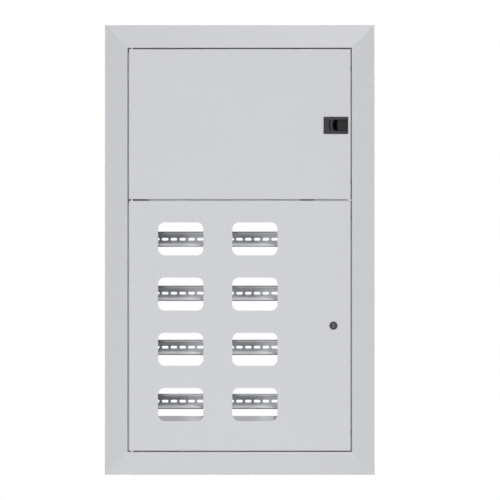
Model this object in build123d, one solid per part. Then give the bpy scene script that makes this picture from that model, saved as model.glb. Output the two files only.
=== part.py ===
from build123d import *
import math
import os

# Flush floor distribution board. X runs to the right, Z up, and the front faces -Y.
# Y = 0 is the rear plane. The origin is the centre of the four rear fixing holes.

# Whole board
BOARD_W = 600.0
BOARD_H = 1000.0
BOARD_D = 150.0  # rear plane to the face of the doors

# Folded sheet
SHEET = 1.2
BEND = 0.8  # inside radius of a fold
TOUCH = 0.3  # clearance between neighbours that don't bear on each other
PAST = 1.0  # how far a cut runs past the face it opens

# Front frame
FRAME_FACE = 51.0
FRAME_SLOPE = 4.0  # the outer edge lies this far behind the inner edge
FRAME_LIP = 14.0  # depth of the lip that meets the wall

# Niche box
BOX_INSET = 25.0  # the frame overlaps the box by this much all round
STOP_T = 18.0  # depth of the stop flange behind the door face
STOP_W = 14.0  # how far the stop flange stands into the door opening

# Back panel
FIX_IN_X = 60.0  # fixing holes in from the sides of the box
FIX_IN_Z = 50.0
FIX_R = 4.5
REAR_OPEN_IN = 60.0  # opening in from the sides of the box
REAR_OPEN_DROP = 29.0  # below the partition
REAR_OPEN_RISE = 80.0  # above the lower end of the box
REAR_OPEN_CORNER = 3.0

# Doors
SPLIT_Z = 111.0  # height of the gap between the doors
DOOR_GAP = 2.5
SPLIT_GAP = 3.0
DOOR_SHEET = 1.5
DOOR_LIP = 15.0
DOOR_BEND = 1.8  # outside radius of the folds round the face

# Windows of the lower door
WIN_W = 100.6
WIN_H = 73.4
WIN_R = 14.5
WIN_EDGE = 115.3  # hinge edge of the door to the middle of the first column
WIN_COLUMN = 164.8
WIN_DROP = 84.9  # upper edge of the door to the middle of the first row
WIN_PITCH = 122.7
WIN_ROWS = 4

# Hinges
PIN_R = 2.5
PIN_INSET = 6.5  # from the edge of the door to the axis
PIN_T = 5.2  # axis behind the door face
PIN_RUN = 0.06  # running clearance on the radius
PIN_FIXED = 0.02
PIN_HEAD_FLATS = 6.0
PIN_HEAD = 2.0
PIN_COLLAR_FLATS = 7.0
HINGE_PLATE = 2.0
HINGE_PLATE_W = 23.0
PIN_END = 2.0  # stands past the plate

# Partition
SHELF_SHEET = 1.5
SHELF_FRONT_T = 4.0
SHELF_FLANGE = 15.0
SHELF_NOTCH_IN = 113.0  # from the free end of the gap
SHELF_NOTCH_W = 29.0
SHELF_NOTCH_T = 17.0
SHELF_HINGE_IN = 46.0  # room left for the hinge
SHELF_LUG_W = 9.5  # lug that fills the right end of the gap
SHELF_LUG_T = 0.4

# Rails and uprights
RAIL_W = 35.0
RAIL_D = 7.5
RAIL_SHEET = 1.0
RAIL_TROUGH = 22.5
RAIL_LIP = 2.5  # height of the edges that are turned back
RAIL_LIP_BACK = 2.0
RAIL_T = 85.0  # front of the rail behind the door face
RAIL_SLOTS = 8
SLOT_PITCH = 20.0
SLOT_L = 15.0
SLOT_H = 6.2
RAIL_SHIFT = -6.4  # middle of the rail screws against the middle of the window
RAIL_SPREAD = 2.1  # each rail stands this much further out than its screws
RAIL_DROP = 0.2
UPRIGHT_SHEET = 1.5
UPRIGHT_D = 20.0
UPRIGHT_W = 32.0
UPRIGHT_CLEAR = 7.0  # from the edge of a window
CROSS_GAP = 16.0  # from the lowest rails to the cross plate
CROSS_RISE = 45.0  # lower edge of the cross plate above the lower end of the box

# Fasteners, with shanks and clearance holes drawn eight-sided
SHANK_SIDES = 8
SCREW_CLEAR = 0.05
RAIL_SCREW_R = 2.5
RAIL_SCREW_FLATS = 8.0
RAIL_SCREW_HEAD = 3.0
RAIL_SCREW_PAST = 4.0  # end past the upright's sheet

# Slide latch of the upper door
LATCH_IN = 33.0  # from the free edge of the door
LATCH_DROP = 2.7  # below the middle of the door
LATCH_W = 55.0
LATCH_H = 38.0
LATCH_RIM = 2.5
LATCH_EDGE = 0.7
LATCH_CORNER = 1.0
LATCH_BODY_W = 47.0
LATCH_BODY_H = 29.0
LATCH_BODY_SHIFT = 2.5
LATCH_BODY_T = 12.0
LATCH_FLOOR = 3.0
POCKET_LEFT = -7.6  # from the latch centre to the bottom of the finger scoop
POCKET_RIGHT = 24.9
POCKET_H = 24.4
POCKET_BULGE = 3.0
GROOVE_X = -15.2
GROOVE_W = 2.2
GROOVE_D = 6.0
GROOVE_H = 22.4
GROOVE_END = 9.0  # length of the curved ends, from the middle of the groove
PAD_LEFT = 2.6
PAD_RIGHT = 21.8
PAD_BULGE = 2.4
PAD_PROUD = 1.6
PAD_BACK_T = 4.0
STEM_L = 12.0
STEM_H = 10.0
STEM_X = 10.5
TONGUE_T = 19.9
TONGUE_THICK = 4.0
TONGUE_H = 18.0
TONGUE_LEFT = -1.0
TONGUE_SLANT = 2.0
TONGUE_GAP = 0.9  # tongue tip to the stop flange, drawn back
LATCH_BACK = 7.5  # drawn back further by hand
LATCH_PUSH = 2.8  # pushed behind the stop flange
RETAINER_SHEET = 2.0
RETAINER_BORDER = 4.0
LATCH_SCREW_R = 1.5
LATCH_SCREW_L = 8.0
LATCH_SCREW_FLATS = 5.5
LATCH_SCREW_HEAD = 2.0

# Key lock of the lower door
LOCK_IN = 38.5  # from the free edge of the door
LOCK_RISE = 0.4  # above the middle of the door
LOCK_HEAD_R = 9.0
LOCK_HEAD = 2.4
LOCK_EDGE = 0.8
LOCK_BARREL_R = 8.0
LOCK_BARREL_T = 19.0
LOCK_FIT = 0.1
PLUG_R = 6.2
PLUG_RUN = 0.05
PLUG_RECESS = 1.0
KEY_W = 2.6
KEY_H = 10.4
KEY_DEEP = 9.0
NUT_FLATS = 22.0
NUT_THICK = 4.0
CAM_T = 19.8
CAM_THICK = 2.5
CAM_W = 15.0
CAM_REACH = 35.0
CAM_CORNER = 3.0
CAM_SQUARE = 6.0
CAM_SCREW_R = 2.0
CAM_SCREW_L = 5.0
CAM_SCREW_FLATS = 10.0
CAM_SCREW_HEAD = 2.4

# Buffers and earth studs
BUFFER_W = 9.0
BUFFER_H = 14.0
BUFFER_GAP = 0.2
BUFFER_INSET = 5.5  # from the jamb to the middle of the buffer
BUFFER_END = 40.0  # from the end of the door
STUD_R = 3.0
STUD_L = 13.0
STUD_FLATS = 10.0
STUD_NUT = 5.0
BOX_STUD_IN = 105.0  # from the right wall
BOX_STUD_T = 80.0
DOOR_STUD_IN = 56.5  # from the hinge edge of the door
DOOR_STUD_RISE = 36.5  # above the lower edge of the door

# Values that follow from the sizes above
FRONT = -BOARD_D
BOX_W = BOARD_W - 2 * BOX_INSET
BOX_H = BOARD_H - 2 * BOX_INSET
OPEN_W = BOARD_W - 2 * FRAME_FACE
OPEN_H = BOARD_H - 2 * FRAME_FACE
STOP_EDGE = FRAME_FACE - BOX_INSET + STOP_W  # box face to the free edge of the stop flange
STOP_X = BOX_W / 2 - STOP_EDGE
WALL_D = BOARD_D - STOP_T - SHEET
DOOR_W = OPEN_W - 2 * DOOR_GAP
UPPER_TOP = OPEN_H / 2 - DOOR_GAP
UPPER_BOTTOM = SPLIT_Z + SPLIT_GAP / 2
LOWER_TOP = SPLIT_Z - SPLIT_GAP / 2
LOWER_BOTTOM = -UPPER_TOP
FIX_X = BOX_W - 2 * FIX_IN_X
FIX_Z = BOX_H - 2 * FIX_IN_Z
REAR_OPEN_W = BOX_W - 2 * REAR_OPEN_IN
REAR_OPEN_TOP = SPLIT_Z - REAR_OPEN_DROP
REAR_OPEN_BOTTOM = REAR_OPEN_RISE - BOX_H / 2
WIN_LEFT_X = WIN_EDGE - DOOR_W / 2
WIN_X = (WIN_LEFT_X, WIN_LEFT_X + WIN_COLUMN)
LATCH_X = DOOR_W / 2 - LATCH_IN
LATCH_Z = (UPPER_TOP + UPPER_BOTTOM) / 2 - LATCH_DROP
LOCK_X = DOOR_W / 2 - LOCK_IN
LOCK_Z = (LOWER_TOP + LOWER_BOTTOM) / 2 + LOCK_RISE
DOOR_STUD_X = DOOR_STUD_IN - DOOR_W / 2
BOX_STUD = (BOX_W / 2 - BOX_STUD_IN, FRONT + BOX_STUD_T)
PIN_X = -DOOR_W / 2 + PIN_INSET
PIN_Y = FRONT + PIN_T
RAIL_L = RAIL_SLOTS * SLOT_PITCH
RAIL_SCREW_X = RAIL_L / 2 - SLOT_PITCH / 2
UPRIGHT_T = RAIL_T + RAIL_D
UPRIGHT_BOTTOM = -BOX_H / 2 + SHEET
UPRIGHT_TOP = SPLIT_Z - SHELF_SHEET / 2


def block(x0, x1, t0, t1, z0, z1):
    """Plain block; depths are counted back from the face of the doors."""
    middle = Pos((x0 + x1) / 2, FRONT + (t0 + t1) / 2, (z0 + z1) / 2)
    return middle * Box(x1 - x0, t1 - t0, z1 - z0)


def rod(x, z, t0, t1, radius):
    """Round bar running back from the front."""
    return Pos(x, FRONT + (t0 + t1) / 2, z) * Rot(90, 0, 0) * Cylinder(radius, t1 - t0)


def post(x, y, z0, z1, radius):
    """Upright round bar."""
    return Pos(x, y, (z0 + z1) / 2) * Cylinder(radius, z1 - z0)


def slab(outline, t0, t1):
    """Outline drawn in X and Z, given thickness from depth t0 back to t1."""
    return Pos(0, FRONT + t1, 0) * extrude(Plane.XZ * outline, t1 - t0)


def hexagon(flats):
    """Hexagon with the given width across flats."""
    return RegularPolygon(flats / math.sqrt(3), 6)


def octagon(radius):
    """Section of a screw or stud with the given radius."""
    return RegularPolygon(radius, SHANK_SIDES)


def shank(x, z, t0, t1, radius):
    """Screw shank, or the hole for one, running back from the front."""
    return slab(Pos(x, z) * octagon(radius), t0, t1)


def screw(x, z, seat, head, tip, radius, flats):
    """Hexagon-headed screw with its head between head and seat and its tip at depth tip."""
    hexagonal = slab(Pos(x, z) * hexagon(flats), min(head, seat), max(head, seat))
    return hexagonal + shank(x, z, min(seat, tip), max(seat, tip), radius)


def crossing(p, q, r, s):
    """Point where the line through p and q meets the line through r and s."""
    ax, ay = q[0] - p[0], q[1] - p[1]
    bx, by = s[0] - r[0], s[1] - r[1]
    along = ((r[0] - p[0]) * by - (r[1] - p[1]) * bx) / (ax * by - ay * bx)
    return (p[0] + along * ax, p[1] + along * ay)


def other_side(path, sheet):
    """Far side of a sheet that lies on the left of the path."""
    lines = []
    for (ax, ay), (bx, by) in zip(path, path[1:]):
        length = math.hypot(bx - ax, by - ay)
        nx = -(by - ay) / length * sheet
        ny = (bx - ax) / length * sheet
        lines.append(((ax + nx, ay + ny), (bx + nx, by + ny)))
    points = [lines[0][0]]
    for one, two in zip(lines, lines[1:]):
        points.append(crossing(*one, *two))
    points.append(lines[-1][1])
    return points


def rounded(face, point, radius):
    """Face with the corner at the point rounded."""
    corner = face.vertices().sort_by_distance((point[0], point[1], 0))[0]
    return fillet(corner, radius)


def folded_section(path, sheet, bend):
    """Section of a folded sheet with rounded bends."""
    far = other_side(path, sheet)
    face = make_face(Polyline(*path, *reversed(far), close=True))
    for before, here, after, across in zip(path, path[1:], path[2:], far[1:]):
        turn = (here[0] - before[0]) * (after[1] - here[1])
        turn -= (here[1] - before[1]) * (after[0] - here[0])
        outer, inner = (here, across) if turn > 0 else (across, here)
        face = rounded(face, outer, bend + sheet)
        face = rounded(face, inner, bend)
    return face


def around(width, height, depth):
    """Frames for the four sides: X points inward, Y back, and Z along the side."""
    y = FRONT + depth
    return {
        "left": Plane((-width / 2, y, -height / 2), x_dir=(1, 0, 0), z_dir=(0, 0, 1)),
        "right": Plane((width / 2, y, height / 2), x_dir=(-1, 0, 0), z_dir=(0, 0, -1)),
        "top": Plane((-width / 2, y, height / 2), x_dir=(0, 0, -1), z_dir=(1, 0, 0)),
        "bottom": Plane((width / 2, y, -height / 2), x_dir=(0, 0, 1), z_dir=(-1, 0, 0)),
    }


def frame_member(length):
    """Mitred folded member: lip to the wall, sloping face, jamb back to the stop flange."""
    path = [(0, FRAME_LIP), (0, FRAME_SLOPE), (FRAME_FACE, 0), (FRAME_FACE, STOP_T)]
    bar = extrude(folded_section(path, SHEET, BEND), length)
    inner = length - FRAME_FACE
    plan = Polyline((0, 0), (FRAME_FACE, FRAME_FACE), (FRAME_FACE, inner), (0, length), close=True)
    return bar & extrude(Plane.XZ * make_face(plan), BOARD_D, both=True)


def frame_members():
    """The four members of the front frame."""
    members = {}
    for side, place in around(BOARD_W, BOARD_H, 0).items():
        length = BOARD_H if side in ("left", "right") else BOARD_W
        members["frame_" + side] = place * frame_member(length)
    reach = OPEN_H / 2 + 2 * SHEET
    hole = post(PIN_X, PIN_Y, -reach, reach, PIN_R + PIN_RUN)
    members["frame_top"] -= hole
    members["frame_bottom"] -= hole
    return members


def box_walls():
    """The four walls, each folded to a stop flange behind the doors."""
    section = folded_section([(0, WALL_D), (0, 0), (STOP_EDGE, 0)], SHEET, BEND)
    walls = {}
    for side, place in around(BOX_W, BOX_H, STOP_T).items():
        if side in ("left", "right"):
            walls["box_wall_" + side] = place * extrude(section, BOX_H)
            continue
        flanged = Pos(0, 0, STOP_EDGE) * extrude(section, BOX_W - 2 * STOP_EDGE)
        length = BOX_W - 2 * SHEET
        start = SHEET + BEND
        sheet = Pos(SHEET / 2, (start + WALL_D) / 2, BOX_W / 2) * Box(SHEET, WALL_D - start, length)
        walls["box_wall_" + side] = place * (flanged + sheet)
    return walls


def back_panel():
    """Rear sheet with the fixing holes and the opening behind the rails."""
    panel = block(-BOX_W / 2, BOX_W / 2, BOARD_D - SHEET, BOARD_D, -BOX_H / 2, BOX_H / 2)
    tall = REAR_OPEN_TOP - REAR_OPEN_BOTTOM
    middle = (REAR_OPEN_TOP + REAR_OPEN_BOTTOM) / 2
    opening = chamfer(Rectangle(REAR_OPEN_W, tall).vertices(), REAR_OPEN_CORNER)
    panel -= slab(Pos(0, middle) * opening, BOARD_D - 2 * SHEET, BOARD_D + SHEET)
    for x in (-FIX_X / 2, FIX_X / 2):
        for z in (-FIX_Z / 2, FIX_Z / 2):
            panel -= rod(x, z, BOARD_D - 2 * SHEET, BOARD_D + SHEET, FIX_R)
    return panel


def partition_shelf():
    """Shelf between the compartments; its front edge stands in the gap between the doors."""
    half = BOX_W / 2 - SHEET
    low, high = SPLIT_Z - SHELF_SHEET / 2, SPLIT_Z + SHELF_SHEET / 2
    behind = STOP_T + SHEET + BEND
    shelf = block(-half, half, behind, BOARD_D - SHEET, low, high)
    neck = STOP_X - TOUCH
    shelf += block(-neck, neck, SHELF_FRONT_T, behind, low, high)
    nose = OPEN_W / 2 - TOUCH
    hinge_end = SHELF_HINGE_IN - OPEN_W / 2
    notch = OPEN_W / 2 - SHELF_NOTCH_IN
    shelf += block(hinge_end, nose, SHELF_FRONT_T, STOP_T - TOUCH, low, high)
    shelf -= block(-nose, hinge_end, 0, behind, low - PAST, high + PAST)
    shelf -= block(notch, notch + SHELF_NOTCH_W, 0, SHELF_NOTCH_T, low - PAST, high + PAST)
    lug_low, lug_high = LOWER_TOP + TOUCH, UPPER_BOTTOM - TOUCH
    shelf += block(nose - SHELF_LUG_W, nose, SHELF_LUG_T, SHELF_FRONT_T, lug_low, lug_high)
    for x in (-half, half - SHELF_SHEET):
        shelf += block(x, x + SHELF_SHEET, behind, BOARD_D - SHEET, low - SHELF_FLANGE, low)
    return shelf


def middle_hinge_plate():
    """Steel plate between the doors, with a half-round seat that the middle pin is welded in."""
    left = -OPEN_W / 2
    low, high = SPLIT_Z - HINGE_PLATE / 2, SPLIT_Z + HINGE_PLATE / 2
    plate = block(left, left + HINGE_PLATE_W, PIN_T, STOP_T - TOUCH, low, high)
    return plate - post(PIN_X, PIN_Y, low - PAST, high + PAST, PIN_R + PIN_FIXED)


def frame_hinge_plate(upper):
    """Plate on the far side of the top or bottom jamb."""
    left = -OPEN_W / 2
    face = OPEN_H / 2 + SHEET
    z0 = face if upper else -face - HINGE_PLATE
    plate = block(left, left + HINGE_PLATE_W, BEND + 3 * SHEET, STOP_T - TOUCH, z0, z0 + HINGE_PLATE)
    hole = post(PIN_X, PIN_Y, z0 - PAST, z0 + HINGE_PLATE + PAST, PIN_R + PIN_RUN)
    return plate - hole


def middle_pin():
    """Pin fixed in the middle plate; it carries the near ends of both doors."""
    reach = SPLIT_GAP / 2 + DOOR_SHEET + 2 * PIN_END
    return post(PIN_X, PIN_Y, SPLIT_Z - reach, SPLIT_Z + reach, PIN_R)


def door_pin(upper):
    """Headed pin in the far lip of a door; the lower one has a collar to bear on."""
    edge = UPPER_TOP
    lip = edge - DOOR_SHEET
    end = OPEN_H / 2 + SHEET + HINGE_PLATE + PIN_END
    pin = post(PIN_X, PIN_Y, lip, end, PIN_R)
    pin += Pos(PIN_X, PIN_Y, lip - PIN_HEAD) * extrude(hexagon(PIN_HEAD_FLATS), PIN_HEAD)
    if upper:
        return pin
    collar = hexagon(PIN_COLLAR_FLATS)
    pin += Pos(PIN_X, PIN_Y, edge) * extrude(collar, DOOR_GAP - TOUCH)
    return mirror(pin, Plane.XY)


def pan(z0, z1):
    """Door pan: a face with four lips folded back."""
    half, s = DOOR_W / 2, DOOR_SHEET
    outer = block(-half, half, 0, DOOR_LIP, z0, z1)
    outer = fillet(outer.faces().sort_by(Axis.Y)[0].edges(), DOOR_BEND)
    door = outer - block(s - half, half - s, s, DOOR_LIP + PAST, z0 + s, z1 - s)
    return door - post(PIN_X, PIN_Y, z0 - PAST, z1 + PAST, PIN_R + PIN_RUN)


def latch_body(grow):
    """Outline of the latch body where it passes the door."""
    place = Pos(LATCH_X + LATCH_BODY_SHIFT, LATCH_Z)
    return place * Rectangle(LATCH_BODY_W + 2 * grow, LATCH_BODY_H + 2 * grow)


def upper_door():
    """Plain door with the cut-out for the latch."""
    return pan(UPPER_BOTTOM, UPPER_TOP) - slab(latch_body(TOUCH), -PAST, DOOR_SHEET + PAST)


def window_centres():
    """Centres of the windows, from the top row down."""
    rows = [LOWER_TOP - WIN_DROP - row * WIN_PITCH for row in range(WIN_ROWS)]
    return [(x, z) for z in rows for x in WIN_X]


def lower_door():
    """Door with two columns of windows and the hole for the lock."""
    door = pan(LOWER_BOTTOM, LOWER_TOP)
    outline = RectangleRounded(WIN_W, WIN_H, WIN_R)
    for x, z in window_centres():
        door -= slab(Pos(x, z) * outline, -PAST, DOOR_SHEET + PAST)
    return door - rod(LOCK_X, LOCK_Z, -PAST, DOOR_SHEET + PAST, LOCK_BARREL_R + LOCK_FIT)


def scooped(left, right, tall, bulge):
    """Outline with a bulging left end, drawn about the latch centre."""
    half = tall / 2
    end = ThreePointArc((left + bulge, half), (left, 0), (left + bulge, -half))
    rest = Polyline((left + bulge, -half), (right, -half), (right, half), (left + bulge, half))
    return Pos(LATCH_X, LATCH_Z) * make_face(end + rest)


def latch_housing():
    """Bezel and body of the latch, with the pocket the thumb pad slides in."""
    rim = Pos(LATCH_X, LATCH_Z) * chamfer(Rectangle(LATCH_W, LATCH_H).vertices(), LATCH_CORNER)
    bezel = slab(rim, -LATCH_RIM, 0)
    bezel = chamfer(bezel.faces().sort_by(Axis.Y)[0].edges(), LATCH_EDGE)
    housing = bezel + slab(latch_body(0), 0, LATCH_BODY_T)
    pocket = scooped(POCKET_LEFT, POCKET_RIGHT, POCKET_H, POCKET_BULGE)
    housing -= slab(pocket, -LATCH_RIM - PAST, LATCH_BODY_T - LATCH_FLOOR)
    groove = scooped(GROOVE_X, GROOVE_X + GROOVE_END, GROOVE_H, POCKET_BULGE)
    groove -= scooped(GROOVE_X + GROOVE_W, GROOVE_X + GROOVE_END + PAST, POCKET_H, POCKET_BULGE)
    housing -= slab(groove, -LATCH_RIM - PAST, GROOVE_D - LATCH_RIM)
    x0 = LATCH_X + STEM_X - STEM_L / 2 - LATCH_BACK - TOUCH
    x1 = LATCH_X + STEM_X + STEM_L / 2 + LATCH_PUSH + TOUCH
    tall = STEM_H / 2 + TOUCH
    return housing - block(x0, x1, 0, LATCH_BODY_T + PAST, LATCH_Z - tall, LATCH_Z + tall)


def latch_slider():
    """Thumb pad with the stem that carries the tongue."""
    pad = slab(scooped(PAD_LEFT, PAD_RIGHT, POCKET_H - 2 * TOUCH, PAD_BULGE), -PAD_PROUD, PAD_BACK_T)
    pad = chamfer(pad.faces().sort_by(Axis.Y)[0].edges(), LATCH_EDGE)
    x = LATCH_X + STEM_X
    z0, z1 = LATCH_Z - STEM_H / 2, LATCH_Z + STEM_H / 2
    slider = pad + block(x - STEM_L / 2, x + STEM_L / 2, PAD_BACK_T, TONGUE_T, z0, z1)
    deep = TONGUE_T - LATCH_SCREW_L - PAST
    return slider - shank(x, LATCH_Z, deep, TONGUE_T + PAST, LATCH_SCREW_R + SCREW_CLEAR)


def latch_tongue():
    """Flat tongue behind the door, with a slanted tip."""
    tip = STOP_X - TONGUE_GAP
    back = TONGUE_T + TONGUE_THICK
    low, high = LATCH_Z - TONGUE_H / 2, LATCH_Z + TONGUE_H / 2
    tongue = block(LATCH_X + TONGUE_LEFT, tip, TONGUE_T, back, low, high)
    far_edge = tongue.edges().filter_by(Axis.Z).sort_by(Axis.X)[-2:].sort_by(Axis.Y)[-1]
    tongue = chamfer(far_edge, TONGUE_SLANT)
    x = LATCH_X + STEM_X
    return tongue - shank(x, LATCH_Z, TONGUE_T - PAST, back + PAST, LATCH_SCREW_R + SCREW_CLEAR)


def latch_screw():
    """Screw that holds the tongue on the stem."""
    back = TONGUE_T + TONGUE_THICK
    head, tip = back + LATCH_SCREW_HEAD, TONGUE_T - LATCH_SCREW_L
    return screw(LATCH_X + STEM_X, LATCH_Z, back, head, tip, LATCH_SCREW_R, LATCH_SCREW_FLATS)


def latch_retainer():
    """Ring that clamps the latch body from inside the door."""
    ring = latch_body(RETAINER_BORDER) - latch_body(TOUCH)
    return slab(ring, DOOR_SHEET, DOOR_SHEET + RETAINER_SHEET)


def lock_housing():
    """Round head and barrel of the lock, bored for the plug."""
    head = rod(LOCK_X, LOCK_Z, -LOCK_HEAD, 0, LOCK_HEAD_R)
    head = chamfer(head.faces().sort_by(Axis.Y)[0].edges(), LOCK_EDGE)
    housing = head + rod(LOCK_X, LOCK_Z, 0, LOCK_BARREL_T, LOCK_BARREL_R)
    return housing - rod(LOCK_X, LOCK_Z, -LOCK_HEAD - PAST, LOCK_BARREL_T + PAST, PLUG_R + PLUG_RUN)


def lock_nut():
    """Hexagon nut that clamps the lock from inside the door."""
    ring = Pos(LOCK_X, LOCK_Z) * (hexagon(NUT_FLATS) - Circle(LOCK_BARREL_R + LOCK_FIT))
    return slab(ring, DOOR_SHEET, DOOR_SHEET + NUT_THICK)


def lock_plug():
    """Turning plug with an upright key slot and a square end for the cam."""
    front = PLUG_RECESS - LOCK_HEAD
    plug = rod(LOCK_X, LOCK_Z, front, CAM_T, PLUG_R)
    half = CAM_SQUARE / 2
    end = CAM_T + CAM_THICK
    plug += block(LOCK_X - half, LOCK_X + half, CAM_T, end, LOCK_Z - half, LOCK_Z + half)
    w, h = KEY_W / 2, KEY_H / 2
    plug -= block(LOCK_X - w, LOCK_X + w, front - PAST, front + KEY_DEEP, LOCK_Z - h, LOCK_Z + h)
    return plug - shank(LOCK_X, LOCK_Z, CAM_T - CAM_SCREW_L - PAST, end + PAST, CAM_SCREW_R + SCREW_CLEAR)


def lock_cam():
    """Flat cam, upright while the lock is open."""
    end = CAM_T + CAM_THICK
    half = CAM_W / 2
    cam = block(LOCK_X - half, LOCK_X + half, CAM_T, end, LOCK_Z, LOCK_Z + CAM_REACH)
    cam = chamfer(cam.edges().filter_by(Axis.Y).sort_by(Axis.Z)[-2:], CAM_CORNER)
    cam += rod(LOCK_X, LOCK_Z, CAM_T, end, half)
    side = CAM_SQUARE / 2 + SCREW_CLEAR
    return cam - block(LOCK_X - side, LOCK_X + side, CAM_T - PAST, end + PAST, LOCK_Z - side, LOCK_Z + side)


def cam_screw():
    """Screw that holds the cam on the plug."""
    end = CAM_T + CAM_THICK
    head, tip = end + CAM_SCREW_HEAD, CAM_T - CAM_SCREW_L
    return screw(LOCK_X, LOCK_Z, end, head, tip, CAM_SCREW_R, CAM_SCREW_FLATS)


def slot_outline():
    """Long slot with its round ends drawn as half octagons."""
    x, z = SLOT_L / 2, SLOT_H / 2
    cut = z * (1 - math.tan(math.pi / SHANK_SIDES))
    quarter = [(x, z - cut), (x - cut, z)]
    upper = quarter + [(-a, b) for a, b in reversed(quarter)]
    lower = [(-a, -b) for a, b in upper]
    return make_face(Polyline(*upper, *lower, close=True))


def rail():
    """Slotted top-hat rail about its own centre, front at depth zero."""
    w, trough, web = RAIL_W / 2, RAIL_TROUGH / 2, RAIL_D - RAIL_SHEET
    upper = [(RAIL_LIP_BACK, w), (0, w - RAIL_LIP), (0, trough), (web, trough)]
    front = upper + [(y, -z) for y, z in reversed(upper)]
    back = reversed(other_side(front, RAIL_SHEET))
    bar = extrude(Plane.YZ * make_face(Polyline(*front, *back, close=True)), RAIL_L / 2, both=True)
    slot = extrude(Plane.XZ * slot_outline(), 2 * RAIL_D, both=True)
    for n in range(RAIL_SLOTS):
        bar -= Pos((n - (RAIL_SLOTS - 1) / 2) * SLOT_PITCH, 0, 0) * slot
    return bar


def rails():
    """One rail behind each window, named by row and column."""
    shape = rail()
    placed = {}
    spread = (-RAIL_SPREAD, RAIL_SPREAD)
    for n, (x, z) in enumerate(window_centres()):
        name = "rail_%d_%s" % (n // 2 + 1, ("left", "right")[n % 2])
        placed[name] = Pos(x + RAIL_SHIFT + spread[n % 2], FRONT + RAIL_T, z - RAIL_DROP) * shape
    return placed


def rail_screw_places():
    """Where the rail screws stand."""
    return [
        (x + RAIL_SHIFT + side, z - RAIL_DROP)
        for x, z in window_centres()
        for side in (-RAIL_SCREW_X, RAIL_SCREW_X)
    ]


def rail_screws():
    """Screws that hold the rails on the uprights."""
    seat = UPRIGHT_T - RAIL_SHEET
    tip = UPRIGHT_T + UPRIGHT_SHEET + RAIL_SCREW_PAST
    head = seat - RAIL_SCREW_HEAD
    return [screw(x, z, seat, head, tip, RAIL_SCREW_R, RAIL_SCREW_FLATS) for x, z in rail_screw_places()]


def upright_spans():
    """Left and right edge of each upright, clear of the windows."""
    clear = WIN_W / 2 + UPRIGHT_CLEAR
    first, last = WIN_X[0] - clear, WIN_X[1] + clear
    return {
        "left": (first - UPRIGHT_W, first),
        "middle": (WIN_X[0] + clear, WIN_X[1] - clear),
        "right": (last, last + UPRIGHT_W),
    }


def upright(x0, x1):
    """Channel that carries rails, with a foot welded down at each end."""
    back = UPRIGHT_T + UPRIGHT_D
    path = [(x0, back), (x0, UPRIGHT_T), (x1, UPRIGHT_T), (x1, back)]
    place = Pos(0, FRONT, UPRIGHT_BOTTOM)
    channel = place * extrude(folded_section(path, UPRIGHT_SHEET, BEND), UPRIGHT_TOP - UPRIGHT_BOTTOM)
    s = UPRIGHT_SHEET
    for z in (UPRIGHT_BOTTOM, UPRIGHT_TOP - s):
        channel += block(x0 + s, x1 - s, UPRIGHT_T + s, back, z, z + s)
    for x, z in rail_screw_places():
        if x0 < x < x1:
            channel -= shank(x, z, UPRIGHT_T - PAST, UPRIGHT_T + s + PAST, RAIL_SCREW_R + SCREW_CLEAR)
    return channel


def cross_plate():
    """Plate welded across the uprights below the lowest rails."""
    spans = upright_spans()
    lowest = window_centres()[-1][1] - RAIL_DROP - RAIL_W / 2
    bottom = CROSS_RISE - BOX_H / 2
    front = UPRIGHT_T - UPRIGHT_SHEET
    return block(spans["left"][0], spans["right"][1], front, UPRIGHT_T, bottom, lowest - CROSS_GAP)


def buffers():
    """Rubber buffers on the stop flange, at the free edges of the doors."""
    x0 = OPEN_W / 2 - BUFFER_INSET - BUFFER_W / 2
    front = DOOR_LIP + BUFFER_GAP
    half = BUFFER_H / 2
    tops = (UPPER_TOP - BUFFER_END, LOWER_TOP - BUFFER_END)
    bottoms = (UPPER_BOTTOM + BUFFER_END, LOWER_BOTTOM + BUFFER_END)
    return [block(x0, x0 + BUFFER_W, front, STOP_T, z - half, z + half) for z in tops + bottoms]


def stud_nut_outline():
    """Hexagon with the hole for an earth stud."""
    return hexagon(STUD_FLATS) - octagon(STUD_R + SCREW_CLEAR)


def door_stud(edge):
    """Earth stud on the inside of a door with its lower edge at the given height."""
    return shank(DOOR_STUD_X, edge + DOOR_STUD_RISE, DOOR_SHEET, DOOR_SHEET + STUD_L, STUD_R)


def door_stud_nut(edge):
    """Nut on an earth stud of a door."""
    place = Pos(DOOR_STUD_X, edge + DOOR_STUD_RISE)
    return slab(place * stud_nut_outline(), DOOR_SHEET, DOOR_SHEET + STUD_NUT)


def box_stud():
    """Earth stud on the bottom wall."""
    return Pos(*BOX_STUD, UPRIGHT_BOTTOM) * extrude(octagon(STUD_R), STUD_L)


def box_stud_nut():
    """Nut on the earth stud of the box."""
    return Pos(*BOX_STUD, UPRIGHT_BOTTOM) * extrude(stud_nut_outline(), STUD_NUT)


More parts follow.
